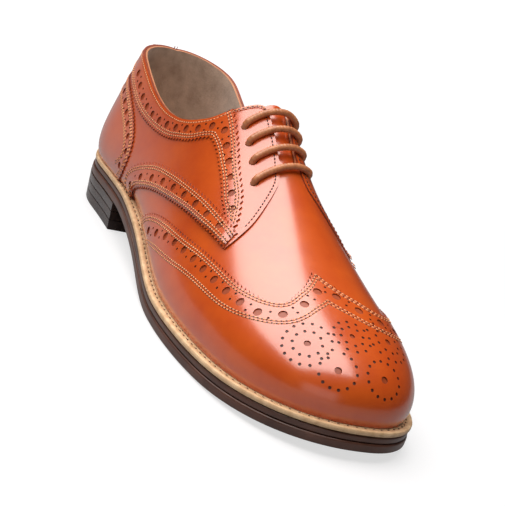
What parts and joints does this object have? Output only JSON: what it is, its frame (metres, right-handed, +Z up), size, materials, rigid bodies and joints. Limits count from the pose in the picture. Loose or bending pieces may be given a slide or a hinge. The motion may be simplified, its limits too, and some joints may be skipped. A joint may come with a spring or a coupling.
{
  "type": "derby brogue shoe",
  "caption": "Right-foot leather derby shoe with winged toe cap, brogued quarters, straight lacing, welted double leather sole and stacked heel.",
  "frame": {"origin": "on the floor, under the middle of the shoe's box in plan", "axes": "+X from heel to toe, +Y to the inner (medial) side of this right shoe, +Z up; the shoe stands on its heel and the ball of its sole"},
  "size_m": [0.3021, 0.1014, 0.1051],
  "materials": {
    "calf": "polished cognac calf",
    "lining": "matt grey-brown lining leather",
    "welt_leather": "natural waxed edge",
    "sole_edge": "dark brown burnished edge",
    "heel_edge": "dark brown burnished edge",
    "lace": "waxed round cotton"
  },
  "bodies": {
    "root": {"welt": "welt_leather", "insole": "lining", "midsole": "sole_edge", "outsole": "sole_edge", "heel_lift_1": "heel_edge", "heel_lift_2": "heel_edge", "heel_top_piece": "heel_edge", "upper": "calf", "tongue": "calf", "quarter_lateral": "calf", "quarter_medial": "calf", "brogued_band_lateral": "calf", "brogued_band_medial": "calf", "heel_counter": "calf", "backstay": "calf", "wing_cap": "calf", "lace_bar_1": "lace", "lace_bar_2": "lace", "lace_bar_3": "lace", "lace_bar_4": "lace"}
  },
  "joints": []
}
